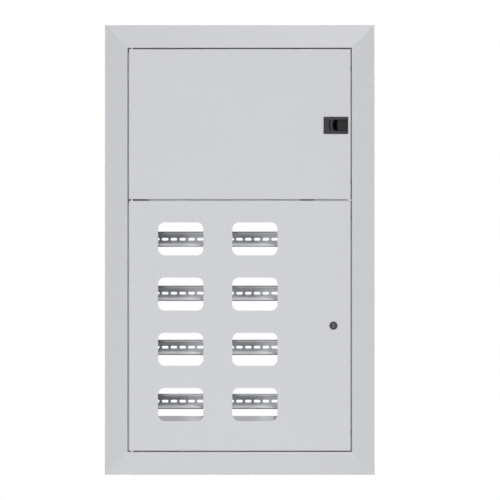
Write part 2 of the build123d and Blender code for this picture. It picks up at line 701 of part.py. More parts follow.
def board():
    """Every piece of the board by name."""
    pieces = {}
    pieces.update(frame_members())
    pieces.update(box_walls())
    pieces["back_panel"] = back_panel()
    pieces["partition_shelf"] = partition_shelf()
    pieces["hinge_plate_top"] = frame_hinge_plate(True)
    pieces["hinge_plate_middle"] = middle_hinge_plate()
    pieces["hinge_plate_bottom"] = frame_hinge_plate(False)
    pieces["hinge_pin_middle"] = middle_pin()
    pieces["hinge_pin_top"] = door_pin(True)
    pieces["hinge_pin_bottom"] = door_pin(False)
    pieces["upper_door"] = upper_door()
    pieces["latch_housing"] = latch_housing()
    pieces["latch_retainer"] = latch_retainer()
    pieces["latch_slider"] = latch_slider()
    pieces["latch_tongue"] = latch_tongue()
    pieces["latch_screw"] = latch_screw()
    pieces["lower_door"] = lower_door()
    pieces["lock_housing"] = lock_housing()
    pieces["lock_nut"] = lock_nut()
    pieces["lock_plug"] = lock_plug()
    pieces["lock_cam"] = lock_cam()
    pieces["cam_screw"] = cam_screw()
    for name, (x0, x1) in upright_spans().items():
        pieces["upright_" + name] = upright(x0, x1)
    pieces["cross_plate"] = cross_plate()
    pieces.update(rails())
    pieces["rail_screws"] = rail_screws()
    pieces["door_buffers"] = buffers()
    pieces["upper_earth_stud"] = door_stud(UPPER_BOTTOM)
    pieces["upper_earth_nut"] = door_stud_nut(UPPER_BOTTOM)
    pieces["lower_earth_stud"] = door_stud(LOWER_BOTTOM)
    pieces["lower_earth_nut"] = door_stud_nut(LOWER_BOTTOM)
    pieces["box_earth_stud"] = box_stud()
    pieces["box_earth_nut"] = box_stud_nut()
    return pieces


os.makedirs("parts", exist_ok=True)
for name, piece in board().items():
    if isinstance(piece, list):
        piece = Compound(children=piece)
    export_step(piece, os.path.join("parts", name + ".step"))
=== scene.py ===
"""Looks of the floor distribution board: finishes, finer pieces, studio light and camera."""

from __future__ import annotations

import logging
import math
from dataclasses import dataclass, field
from enum import Enum
from typing import Iterable, Sequence

import bmesh
import bpy
from bmesh.types import BMesh, BMEdge, BMVert
from mathutils import Matrix, Vector

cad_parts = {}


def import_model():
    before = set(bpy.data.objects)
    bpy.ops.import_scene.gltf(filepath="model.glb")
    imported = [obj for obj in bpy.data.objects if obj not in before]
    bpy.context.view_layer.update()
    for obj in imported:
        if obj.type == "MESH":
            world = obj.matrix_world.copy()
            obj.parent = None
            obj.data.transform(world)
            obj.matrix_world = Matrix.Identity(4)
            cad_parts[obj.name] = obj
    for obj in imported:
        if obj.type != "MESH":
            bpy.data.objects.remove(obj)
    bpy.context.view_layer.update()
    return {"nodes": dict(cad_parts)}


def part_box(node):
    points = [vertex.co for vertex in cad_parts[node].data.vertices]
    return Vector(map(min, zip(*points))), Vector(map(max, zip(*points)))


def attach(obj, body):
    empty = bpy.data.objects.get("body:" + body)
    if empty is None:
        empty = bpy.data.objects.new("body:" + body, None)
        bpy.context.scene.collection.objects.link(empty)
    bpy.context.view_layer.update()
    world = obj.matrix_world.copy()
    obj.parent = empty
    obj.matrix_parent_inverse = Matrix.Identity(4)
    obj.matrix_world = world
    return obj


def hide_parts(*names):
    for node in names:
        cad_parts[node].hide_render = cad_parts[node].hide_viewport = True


LOG = logging.getLogger("board")
MM = 0.001
SAME = 1e-6  # metres; points nearer than this are one
TINY = 1e-9  # metres; keeps a division from failing
WHITE = (1, 1, 1, 1)


class Grain(Enum):
    """Direction in which a metal finish is drawn."""

    ALONG_X = (0.06, 1.0, 1.0)
    ALONG_Z = (1.0, 1.0, 0.06)
    NONE = (1.0, 1.0, 1.0)


@dataclass(frozen=True)
class Tone:
    """Colour as it reads on a screen, each channel from 0 to 255."""

    red: float
    green: float
    blue: float

    def linear(self, gain: float = 1.0) -> tuple[float, float, float, float]:
        """Colour for a shader socket, made lighter or darker by the gain."""
        channels = []
        for value in (self.red, self.green, self.blue):
            share = value / 255.0
            low = share / 12.92
            high = ((share + 0.055) / 1.055) ** 2.4
            channels.append((low if share <= 0.04045 else high) * gain)
        return (channels[0], channels[1], channels[2], 1.0)


class Graph:
    """Small helper that adds and joins shader nodes in one tree."""

    def __init__(self, tree: bpy.types.NodeTree) -> None:
        """Keep the tree and start it empty."""
        self.tree = tree
        tree.nodes.clear()

    def add(self, kind: str, **values: object) -> bpy.types.Node:
        """Add a node and set its properties.

        Args:
            kind: Type name of the node.
            values: Properties of the node by name.

        Returns:
            The new node.
        """
        node = self.tree.nodes.new(kind)
        for name, value in values.items():
            setattr(node, name, value)
        return node

    def join(self, source: bpy.types.NodeSocket, target: bpy.types.NodeSocket) -> None:
        """Join an output to an input."""
        self.tree.links.new(source, target)

    def math(self, operation: str, first: object, second: object) -> bpy.types.NodeSocket:
        """Add a Math node.

        Args:
            operation: Name of the operation.
            first: Socket or number for the first input.
            second: Socket or number for the second input.

        Returns:
            The output socket.
        """
        node = self.add("ShaderNodeMath", operation=operation)
        for index, value in enumerate((first, second)):
            if isinstance(value, bpy.types.NodeSocket):
                self.join(value, node.inputs[index])
            else:
                node.inputs[index].default_value = value
        return node.outputs[0]

    def seen(self) -> bpy.types.NodeSocket:
        """Mask that is 1 to the eye, in reflections and through glass, and 0 for other light."""
        path = self.add("ShaderNodeLightPath")
        direct = self.math("MAXIMUM", path.outputs["Is Camera Ray"], path.outputs["Is Glossy Ray"])
        return self.math("MAXIMUM", direct, path.outputs["Is Transmission Ray"])

    def noise(
        self, vector: bpy.types.NodeSocket, scale: object, detail: float
    ) -> bpy.types.NodeSocket:
        """Add a noise texture.

        Args:
            vector: Coordinates of the pattern.
            scale: Socket or number for the scale.
            detail: Octaves of the noise.

        Returns:
            The value output, from 0 to 1.
        """
        node = self.add("ShaderNodeTexNoise")
        node.inputs["Detail"].default_value = detail
        self.join(vector, node.inputs["Vector"])
        if isinstance(scale, bpy.types.NodeSocket):
            self.join(scale, node.inputs["Scale"])
        else:
            node.inputs["Scale"].default_value = scale
        return node.outputs[0]


@dataclass(frozen=True)
class SurfaceGroup:
    """Node group shared by the finishes: mottled colour, uneven gloss and a fine relief."""

    name: str = "surface_texture"
    fine_detail: float = 3.0
    broad_detail: float = 4.0
    noise_middle: float = 0.5

    def build(self) -> bpy.types.NodeTree:
        """Make the group, or return it if it is there.

        Returns:
            The node group.
        """
        found = bpy.data.node_groups.get(self.name)
        if found is not None:
            return found
        tree = bpy.data.node_groups.new(self.name, "ShaderNodeTree")
        graph = Graph(tree)
        self._sockets(tree)
        start = graph.add("NodeGroupInput")
        end = graph.add("NodeGroupOutput")
        place = start.outputs["Vector"]
        fine = graph.noise(place, start.outputs["Fine Scale"], self.fine_detail)
        broad = graph.noise(place, start.outputs["Broad Scale"], self.broad_detail)
        swing = graph.math("SUBTRACT", broad, self.noise_middle)
        gain = graph.math("MULTIPLY_ADD", swing, start.outputs["Mottle"])
        gain.node.inputs[2].default_value = 1.0
        colour = graph.add("ShaderNodeVectorMath", operation="SCALE")
        graph.join(start.outputs["Color"], colour.inputs[0])
        graph.join(gain, colour.inputs["Scale"])
        graph.join(colour.outputs[0], end.inputs["Color"])
        ripple = graph.math("SUBTRACT", fine, self.noise_middle)
        uneven = graph.math("MULTIPLY", ripple, start.outputs["Gloss Change"])
        graph.join(graph.math("ADD", uneven, start.outputs["Roughness"]), end.inputs["Roughness"])
        graph.join(fine, end.inputs["Height"])
        return tree

    @staticmethod
    def _sockets(tree: bpy.types.NodeTree) -> None:
        """Give the group its named inputs and outputs."""
        for name, kind in (
            ("Vector", "NodeSocketVector"),
            ("Color", "NodeSocketColor"),
            ("Mottle", "NodeSocketFloat"),
            ("Roughness", "NodeSocketFloat"),
            ("Gloss Change", "NodeSocketFloat"),
            ("Fine Scale", "NodeSocketFloat"),
            ("Broad Scale", "NodeSocketFloat"),
        ):
            tree.interface.new_socket(name, in_out="INPUT", socket_type=kind)
        tree.interface.new_socket("Color", in_out="OUTPUT", socket_type="NodeSocketColor")
        tree.interface.new_socket("Roughness", in_out="OUTPUT", socket_type="NodeSocketFloat")
        tree.interface.new_socket("Height", in_out="OUTPUT", socket_type="NodeSocketFloat")


@dataclass(frozen=True)
class Finish:
    """One finish: a tone with its gloss and its fine texture.

    Sizes of the texture are in repeats for each metre, and the relief is in metres. The glow
    is for the stage alone: it whitens what the eye sees, and lights nothing.
    """

    name: str
    slot: str
    tone: Tone
    roughness: float
    metallic: float = 0.0
    mottle: float = 0.02
    gloss_change: float = 0.1
    fine_scale: float = 900.0
    broad_scale: float = 6.0
    relief: float = 0.00004
    grain: Grain = Grain.NONE
    specular: float = 0.5
    glow: float = 0.0

    def material(self) -> bpy.types.Material:
        """Make the material, or return it if it is there.

        Returns:
            The material.
        """
        found = bpy.data.materials.get(self.name)
        if found is not None:
            return found
        material = bpy.data.materials.new(self.name)
        material.use_nodes = True
        graph = Graph(material.node_tree)
        place = graph.add("ShaderNodeTexCoord")
        turn = graph.add("ShaderNodeMapping")
        turn.inputs["Scale"].default_value = self.grain.value
        graph.join(place.outputs["Object"], turn.inputs["Vector"])
        group = graph.add("ShaderNodeGroup", node_tree=SurfaceGroup().build())
        graph.join(turn.outputs["Vector"], group.inputs["Vector"])
        group.inputs["Color"].default_value = self.tone.linear()
        group.inputs["Mottle"].default_value = self.mottle
        group.inputs["Roughness"].default_value = self.roughness
        group.inputs["Gloss Change"].default_value = self.gloss_change
        group.inputs["Fine Scale"].default_value = self.fine_scale
        group.inputs["Broad Scale"].default_value = self.broad_scale
        bump = graph.add("ShaderNodeBump")
        bump.inputs["Strength"].default_value = 1.0
        bump.inputs["Distance"].default_value = self.relief
        graph.join(group.outputs["Height"], bump.inputs["Height"])
        shader = graph.add("ShaderNodeBsdfPrincipled")
        shader.inputs["Metallic"].default_value = self.metallic
        shader.inputs["Specular IOR Level"].default_value = self.specular
        graph.join(group.outputs["Color"], shader.inputs["Base Color"])
        graph.join(group.outputs["Roughness"], shader.inputs["Roughness"])
        graph.join(bump.outputs["Normal"], shader.inputs["Normal"])
        if self.glow:
            shader.inputs["Emission Color"].default_value = WHITE
            shine = graph.math("MULTIPLY", graph.seen(), self.glow)
            graph.join(shine, shader.inputs["Emission Strength"])
        end = graph.add("ShaderNodeOutputMaterial")
        graph.join(shader.outputs["BSDF"], end.inputs["Surface"])
        return material


@dataclass(frozen=True)
class Finishes:
    """All finishes of the board."""

    paint: Finish = Finish(
        "light_grey_powder_coat", "painted_sheet", Tone(196, 197, 201), 0.22, mottle=0.012,
        gloss_change=0.05, fine_scale=700.0, broad_scale=5.0, relief=0.00001,
    )
    # Box paint made lighter for the partition and the cross plate, which sit in shade behind the
    # doors: painted light.
    inner: Finish = Finish(
        "grey_coat_lightened_painted_light", "painted_sheet", Tone(218, 219, 222), 0.35, mottle=0.012,
        gloss_change=0.05, fine_scale=700.0, broad_scale=5.0, relief=0.00001,
    )
    rail: Finish = Finish(
        "rail_zinc", "zinc_rail", Tone(230, 232, 234), 0.5, mottle=0.03,
        gloss_change=0.1, fine_scale=1500.0, broad_scale=60.0, relief=0.000008,
        grain=Grain.ALONG_X,
    )
    lip: Finish = Finish(
        "rail_drawn_lip", "zinc_rail", Tone(206, 208, 210), 0.2, metallic=1.0, mottle=0.05,
        gloss_change=0.05, fine_scale=1500.0, broad_scale=60.0, relief=0.000004,
        grain=Grain.ALONG_X,
    )
    zinc: Finish = Finish(
        "fastener_zinc", "zinc_steel", Tone(190, 191, 192), 0.36, metallic=1.0, mottle=0.15,
        gloss_change=0.2, fine_scale=1200.0, broad_scale=90.0, relief=0.00002,
    )
    # Blackened steel for the hinge plates. This dark tone also stands in for the shade in the
    # middle door gap, so it is partly painted shade.
    blacked_and_gap_shade: Finish = Finish(
        "blackened_plate_and_gap_shade", "black_steel", Tone(44, 44, 46), 0.5, metallic=0.3, mottle=0.12,
        gloss_change=0.15, fine_scale=1400.0, broad_scale=70.0, relief=0.00002,
    )
    bezel: Finish = Finish(
        "latch_black_plastic", "black_plastic", Tone(33, 33, 36), 0.42, mottle=0.08,
        gloss_change=0.12, fine_scale=2600.0, broad_scale=40.0, relief=0.00002, specular=0.22,
    )
    pad: Finish = Finish(
        "thumb_pad_plastic", "pad_plastic", Tone(32, 32, 33), 0.5, mottle=0.08,
        gloss_change=0.12, fine_scale=2600.0, broad_scale=40.0, relief=0.00003, specular=0.12,
    )
    # Near black, darker than the latch's own plastic: painted shade for the deep pocket of the
    # latch and for the tongue seen through its slot.
    recess: Finish = Finish(
        "latch_pocket_painted_shade", "black_plastic", Tone(12, 12, 13), 0.8, mottle=0.1,
        gloss_change=0.1, fine_scale=3000.0, broad_scale=60.0, relief=0.00004, specular=0.05,
    )
    case: Finish = Finish(
        "lock_dark_case", "lock_case", Tone(37, 37, 40), 0.35, metallic=0.4, mottle=0.08,
        gloss_change=0.1, fine_scale=2200.0, broad_scale=80.0, relief=0.00001,
    )
    plug: Finish = Finish(
        "lock_dark_plug", "lock_plug", Tone(42, 42, 44), 0.45, metallic=0.4, mottle=0.1,
        gloss_change=0.1, fine_scale=2200.0, broad_scale=80.0, relief=0.00002,
    )
    shutter: Finish = Finish(
        "key_shutter_steel", "lock_plug", Tone(88, 88, 91), 0.45, metallic=0.4, mottle=0.1,
        gloss_change=0.1, fine_scale=2200.0, broad_scale=80.0, relief=0.00001,
        grain=Grain.ALONG_Z,
    )
    rubber: Finish = Finish(
        "buffer_rubber", "rubber", Tone(40, 40, 41), 0.75, mottle=0.1,
        gloss_change=0.1, fine_scale=1800.0, broad_scale=60.0, relief=0.00006,
    )


class Bench:
    """Mesh tools that the sub-assemblies share; sizes are in metres.

    The proportions of a thread are shares of its pitch, and those of a screw's head are shares
    of its height.
    """

    SEAM = 1e-7
    FLANK = 0.45
    THREAD_DEPTH = 0.55
    BITE = 0.05
    CHAMFER = 0.5
    TIP = 0.75
    BAR_STEPS = 24
    HEAD_EDGE = 0.14
    HEAD_DISH = 0.12
    HEX = 6

    @staticmethod
    def bevel(shape: BMesh, edges: Sequence[BMEdge], width: float, segments: int) -> None:
        """Round some edges by the given width."""
        bmesh.ops.bevel(
            shape, geom=edges, offset=width, offset_type="OFFSET", segments=segments, profile=0.5,
            affect="EDGES", clamp_overlap=True, material=-1,
        )

    @staticmethod
    def add(target: BMesh, part: BMesh, place: Matrix) -> None:
        """Move a finished part to its place and add it to the target; the part is freed."""
        bmesh.ops.transform(part, matrix=place, verts=part.verts)
        mesh = bpy.data.meshes.new("part")
        part.to_mesh(mesh)
        part.free()
        target.from_mesh(mesh)
        bpy.data.meshes.remove(mesh)

    @classmethod
    def turned(
        cls, profile: Sequence[tuple[float, float]], steps: int, closed: bool = False
    ) -> BMesh:
        """Turn a profile about the Z axis.

        Args:
            profile: Radius and height of each point.
            steps: Steps round the axis.
            closed: Whether the last point joins the first.

        Returns:
            The turned shape.
        """
        shape = bmesh.new()
        verts = [shape.verts.new((radius, 0, height)) for radius, height in profile]
        ends = verts[1:] + verts[:1] if closed else verts[1:]
        edges = [shape.edges.new(pair) for pair in zip(verts, ends)]
        bmesh.ops.spin(
            shape, geom=verts + edges, cent=(0, 0, 0), axis=(0, 0, 1), dvec=(0, 0, 0),
            angle=2 * math.pi, steps=steps, use_merge=True, use_duplicate=False,
        )
        bmesh.ops.remove_doubles(shape, verts=shape.verts, dist=cls.SEAM)
        bmesh.ops.recalc_face_normals(shape, faces=shape.faces)
        return shape

    @classmethod
    def thread(
        cls, crest: float, root: float, length: float, pitch: float, steps: int = 16
    ) -> BMesh:
        """Wind a ridge round the Z axis, from Z = 0 up.

        Args:
            crest: Radius of the crest.
            root: Radius that the ridge stands on.
            length: Length of the threaded part.
            pitch: Height of one turn.
            steps: Steps in one turn.

        Returns:
            The ridge, closed at both ends.
        """
        shape = bmesh.new()
        half = pitch * cls.FLANK
        corners = ((root, 0.0), (crest, half), (root, 2 * half))
        verts = [shape.verts.new((radius, 0, height)) for radius, height in corners]
        edges = [shape.edges.new(pair) for pair in zip(verts, verts[1:] + verts[:1])]
        total = int(steps * (length / pitch - 1))
        bmesh.ops.spin(
            shape, geom=verts + edges, cent=(0, 0, 0), axis=(0, 0, 1), dvec=(0, 0, pitch / steps),
            angle=2 * math.pi * total / steps, steps=total, use_merge=False, use_duplicate=False,
        )
        rims = [e for e in shape.edges if e.is_boundary]
        bmesh.ops.holes_fill(shape, edges=rims, sides=len(corners))
        bmesh.ops.recalc_face_normals(shape, faces=shape.faces)
        return shape

    @classmethod
    def hexagonal(cls, flats: float, height: float, edge: float, dish: float) -> BMesh:
        """Make a hexagon head standing on Z = 0, with a rounded rim and a dished top.

        Args:
            flats: Width across the flats.
            height: Height of the head.
            edge: Width of the rounded rim.
            dish: Depth of the dish.

        Returns:
            The head.
        """
        shape = bmesh.new()
        corner = flats / math.sqrt(3)
        bmesh.ops.create_circle(shape, cap_ends=True, segments=cls.HEX, radius=corner)
        grown = bmesh.ops.extrude_face_region(shape, geom=list(shape.faces))["geom"]
        upper = [g for g in grown if isinstance(g, BMVert)]
        bmesh.ops.translate(shape, vec=(0, 0, height), verts=upper)
        top = [f for f in shape.faces if all(abs(v.co.z - height) < TINY for v in f.verts)]
        bmesh.ops.recalc_face_normals(shape, faces=shape.faces)
        bmesh.ops.inset_individual(shape, faces=top, thickness=flats / 4, depth=-dish)
        rim = [e for e in shape.edges if all(abs(v.co.z - height) < TINY for v in e.verts)]
        cls.bevel(shape, rim, edge, 2)
        return shape

    @classmethod
    def screw(cls, flats: float, head: float, radius: float, length: float, pitch: float) -> BMesh:
        """Make a hexagon-headed screw with its head above Z = 0 and its shank below.

        Args:
            flats: Width of the head across its flats.
            head: Height of the head.
            radius: Radius of the thread's crest.
            length: Length of the shank.
            pitch: Pitch of the thread.

        Returns:
            The screw.
        """
        shape = cls.hexagonal(flats, head, head * cls.HEAD_EDGE, head * cls.HEAD_DISH)
        cls.add(shape, cls.threaded_bar(radius, length, pitch), Matrix.Rotation(math.pi, 4, "X"))
        return shape

    @classmethod
    def threaded_bar(cls, radius: float, length: float, pitch: float) -> BMesh:
        """Make a threaded bar standing on Z = 0, with a chamfered upper end."""
        root = radius - pitch * cls.THREAD_DEPTH
        tip = length - pitch * cls.CHAMFER
        profile = ((0, 0), (root, 0), (root, tip), (root * cls.TIP, length), (0, length))
        shape = cls.turned(profile, cls.BAR_STEPS)
        ridge = cls.thread(radius, root - pitch * cls.BITE, tip, pitch)
        cls.add(shape, ridge, Matrix.Identity(4))
        return shape


@dataclass
class Workshop:
    """Turns bmeshes into named pieces that ride on the bodies of the board.

    The angles are in degrees. Faces that turn by less than the flat angle become one, edges
    that turn by more than the sharp angle are rounded, and edges that turn by more than the
    crease angle stay sharp in the shading.
    """

    nodes: dict[str, bpy.types.Object]
    finishes: Finishes
    made: list[str] = field(default_factory=list)
    flat: float = 0.5
    sharp: float = 38.0
    crease: float = 35.0

    def dress(self, name: str, finish: Finish) -> None:
        """Give a solid that stays in view its finish."""
        mesh = self.nodes[name].data
        mesh.materials.clear()
        mesh.materials.append(finish.material())
        LOG.info("dressed %s with %s", name, finish.name)

    def place(
        self, shape: BMesh, name: str, body: str, finish: Finish, stands_for: Sequence[str] = ()
    ) -> bpy.types.Object:
        """Make an object of a finished bmesh.

        Args:
            shape: The mesh, in the frame of the board; it is freed.
            name: Name of the new piece.
            body: Body that it rides on.
            finish: Finish of the piece.
            stands_for: Solids that it replaces.

        Returns:
            The new object.
        """
        mesh = bpy.data.meshes.new(name)
        shape.to_mesh(mesh)
        shape.free()
        mesh.polygons.foreach_set("use_smooth", [True] * len(mesh.polygons))
        mesh.set_sharp_from_angle(angle=math.radians(self.crease))
        mesh.materials.append(finish.material())
        piece = bpy.data.objects.new(name, mesh)
        bpy.context.scene.collection.objects.link(piece)
        even = piece.modifiers.new("flat_faces", "WEIGHTED_NORMAL")
        even.keep_sharp = True
        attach(piece, body)
        if stands_for:
            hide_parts(*stands_for)
        self.made.append(name)
        LOG.info("made %s on %s, %d faces", name, body, len(mesh.polygons))
        return piece

    def soften(
        self, node: str, body: str, finish: Finish, width: float, segments: int = 3
    ) -> bpy.types.Object:
        """Replace a solid by a copy with rounded edges, as paint or moulding rounds them.

        Args:
            node: Name of the solid.
            body: Body that it belongs to.
            finish: Finish of the new piece.
            width: Width of the rounding in metres.
            segments: Steps across the rounding.

        Returns:
            The new object.
        """
        shape = bmesh.new()
        shape.from_mesh(self.nodes[node].data)
        bmesh.ops.remove_doubles(shape, verts=shape.verts, dist=SAME)
        bmesh.ops.dissolve_limit(
            shape, angle_limit=math.radians(self.flat), verts=shape.verts, edges=shape.edges,
            delimit={"NORMAL"},
        )
        limit = math.radians(self.sharp)
        sharp = [e for e in shape.edges if e.calc_face_angle(0.0) > limit]
        Bench.bevel(shape, sharp, width, segments)
        bmesh.ops.dissolve_degenerate(shape, dist=SAME, edges=shape.edges)
        return self.place(shape, node + "_finished", body, finish, (node,))


@dataclass
class Rails:
    """Slotted top-hat rails with rounded bends, and the screws that hold them."""

    shop: Workshop
    rows: int = 4
    columns: tuple[str, ...] = ("left", "right")
    slots: int = 8
    pitch: float = 20 * MM
    slot_length: float = 15 * MM
    slot_height: float = 6.2 * MM
    slot_steps: int = 24
    trough: float = 22.5 * MM
    lip: float = 2.5 * MM
    lip_back: float = 2 * MM
    spread: float = 2.1 * MM
    depth: float = 7.5 * MM
    width: float = 35 * MM
    sheet: float = 1 * MM
    bend: float = 0.45 * MM
    bend_steps: int = 3
    fold_angle: float = 20.0
    screw_flats: float = 8 * MM
    screw_head: float = 3 * MM
    screw_radius: float = 2.5 * MM
    screw_length: float = 6.5 * MM
    screw_pitch: float = 0.8 * MM

    def build(self) -> None:
        """Make all rails and their screws."""
        for row in range(1, self.rows + 1):
            for column in self.columns:
                self._rail("rail_%d_%s" % (row, column))
        self._screws()

    def _cell(self, shape: BMesh) -> None:
        """Draw one slot with the piece of web round it, in the plane of the web."""
        ring = bmesh.ops.create_circle(shape, segments=self.slot_steps, radius=self.slot_height / 2)
        verts: list[BMVert] = ring["verts"]
        turn = Matrix.Rotation(math.pi / self.slot_steps, 4, "Z")
        upright = Matrix.Rotation(math.pi / 2, 4, "X")
        bmesh.ops.transform(shape, matrix=upright @ turn, verts=verts)
        shift = (self.slot_length - self.slot_height) / 2
        for side in (-1, 1):
            half = [v for v in verts if v.co.x * side > 0]
            bmesh.ops.translate(shape, vec=(side * shift, 0, 0), verts=half)
        grown = bmesh.ops.extrude_edge_only(shape, edges=list(shape.edges))["geom"]
        self._spread(g for g in grown if isinstance(g, BMVert))

    def _spread(self, verts: Iterable[BMVert]) -> None:
        """Move a ring of vertices out to the edges of one cell, with one in each corner."""
        half_x, half_z = self.pitch / 2, self.trough / 2
        points = list(verts)
        for vert in points:
            grow_x = half_x / max(abs(vert.co.x), TINY)
            grow_z = half_z / max(abs(vert.co.z), TINY)
            grow = min(grow_x, grow_z)
            vert.co.x *= grow
            vert.co.z *= grow
        for corner_x in (-half_x, half_x):
            for corner_z in (-half_z, half_z):
                corner = Vector((corner_x, 0, corner_z))
                nearest = min(points, key=lambda v: (v.co - corner).length)
                nearest.co = corner

    def _web(self, shape: BMesh) -> None:
        """Repeat the cell along the rail."""
        self._cell(shape)
        first = list(shape.verts) + list(shape.edges) + list(shape.faces)
        for step in range(1, self.slots):
            copy = bmesh.ops.duplicate(shape, geom=first)
            verts = [v for v in copy["geom"] if isinstance(v, BMVert)]
            bmesh.ops.translate(shape, vec=(step * self.pitch, 0, 0), verts=verts)
        middle = (self.slots - 1) * self.pitch / 2
        bmesh.ops.translate(shape, vec=(-middle, 0, 0), verts=shape.verts)
        bmesh.ops.remove_doubles(shape, verts=shape.verts, dist=SAME)

    def _fold(self, shape: BMesh, side: int) -> None:
        """Fold one wall, flange and turned-back lip from an edge of the web.

        Args:
            shape: The rail so far.
            side: 1 for the upper edge, -1 for the lower.
        """
        line = self.trough / 2 * side
        rims = [e for e in shape.edges if e.is_boundary]
        edges = [e for e in rims if all(abs(v.co.z - line) < SAME for v in e.verts)]
        flange = (self.width - self.trough) / 2 - self.lip
        wall_move = (0, self.sheet - self.depth, 0)
        flange_move = (0, 0, side * flange)
        lip_move = (0, self.lip_back, side * self.lip)
        for move in (wall_move, flange_move, lip_move):
            grown = bmesh.ops.extrude_edge_only(shape, edges=edges)["geom"]
            edges = [g for g in grown if isinstance(g, BMEdge)]
            verts = [g for g in grown if isinstance(g, BMVert)]
            bmesh.ops.translate(shape, vec=move, verts=verts)

    def _is_fold(self, edge: BMEdge) -> bool:
        """Say whether an edge runs along a fold or a cut of the sheet, and not round a slot.

        Args:
            edge: An edge of the rail, in the rail's own place.

        Returns:
            True for a fold or a cut.
        """
        start, end = (v.co for v in edge.verts)
        along = abs(start.y - end.y) < SAME and abs(start.z - end.z) < SAME
        outside = abs(start.z) > self.slot_height
        return along and outside and edge.calc_face_angle(0.0) > math.radians(self.fold_angle)

    def _rail(self, node: str) -> None:
        """Make one rail in the place of its solid."""
        low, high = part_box(node)
        shape = bmesh.new()
        self._web(shape)
        self._fold(shape, 1)
        self._fold(shape, -1)
        bmesh.ops.recalc_face_normals(shape, faces=shape.faces)
        if sum(f.normal.y * f.calc_area() for f in shape.faces) > 0:
            bmesh.ops.reverse_faces(shape, faces=shape.faces)
        bmesh.ops.solidify(shape, geom=list(shape.faces), thickness=self.sheet)
        folds = [e for e in shape.edges if self._is_fold(e)]
        Bench.bevel(shape, folds, self.bend, self.bend_steps)
        middle = (low + high) / 2
        place = (middle.x, high.y - self.sheet, middle.z)
        bmesh.ops.translate(shape, vec=place, verts=shape.verts)
        finish = self.shop.finishes.rail
        rail = self.shop.place(shape, node + "_slotted", "enclosure", finish, (node,))
        self._burnish(rail, middle.z)

    def _burnish(self, rail: bpy.types.Object, height: float) -> None:
        """Give the lips, which the rolls polish as they turn them back, their brighter finish.

        Args:
            rail: The finished rail.
            height: Height of the middle of the rail.
        """
        rail.data.materials.append(self.shop.finishes.lip.material())
        start = self.width / 2 - self.lip
        for face in rail.data.polygons:
            if abs(face.center.z - height) > start:
                face.material_index = 1

    def _screws(self) -> None:
        """Make the screws that hold the rails on the uprights."""
        shape = bmesh.new()
        forward = Matrix.Rotation(math.pi / 2, 4, "X")
        reach = (self.slots - 1) * self.pitch / 2
        for row in range(1, self.rows + 1):
            for column, inward in zip(self.columns, (self.spread, -self.spread)):
                low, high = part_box("rail_%d_%s" % (row, column))
                middle = (low + high) / 2
                for side in (-reach, reach):
                    part = Bench.screw(
                        self.screw_flats, self.screw_head, self.screw_radius, self.screw_length,
                        self.screw_pitch,
                    )
                    spot = (middle.x + inward + side, high.y - self.sheet, middle.z)
                    Bench.add(shape, part, Matrix.Translation(spot) @ forward)
        zinc = self.shop.finishes.zinc
        self.shop.place(shape, "rail_screws_threaded", "enclosure", zinc, ("rail_screws",))


@dataclass(frozen=True)
class Lamp:
    """One far, soft lamp.

    The azimuth is in degrees to the right of straight ahead, the elevation in degrees above the
    horizon, and the spread is the angle across the lamp in degrees. The strength is the light
    that falls on a face square to it.
    """

    name: str
    azimuth: float
    elevation: float
    strength: float
    spread: float

    def toward(self) -> Vector:
        """Direction from the board to the lamp."""
        turn, rise = math.radians(self.azimuth), math.radians(self.elevation)
        flat = math.cos(rise)
        return Vector((math.sin(turn) * flat, -math.cos(turn) * flat, math.sin(rise)))


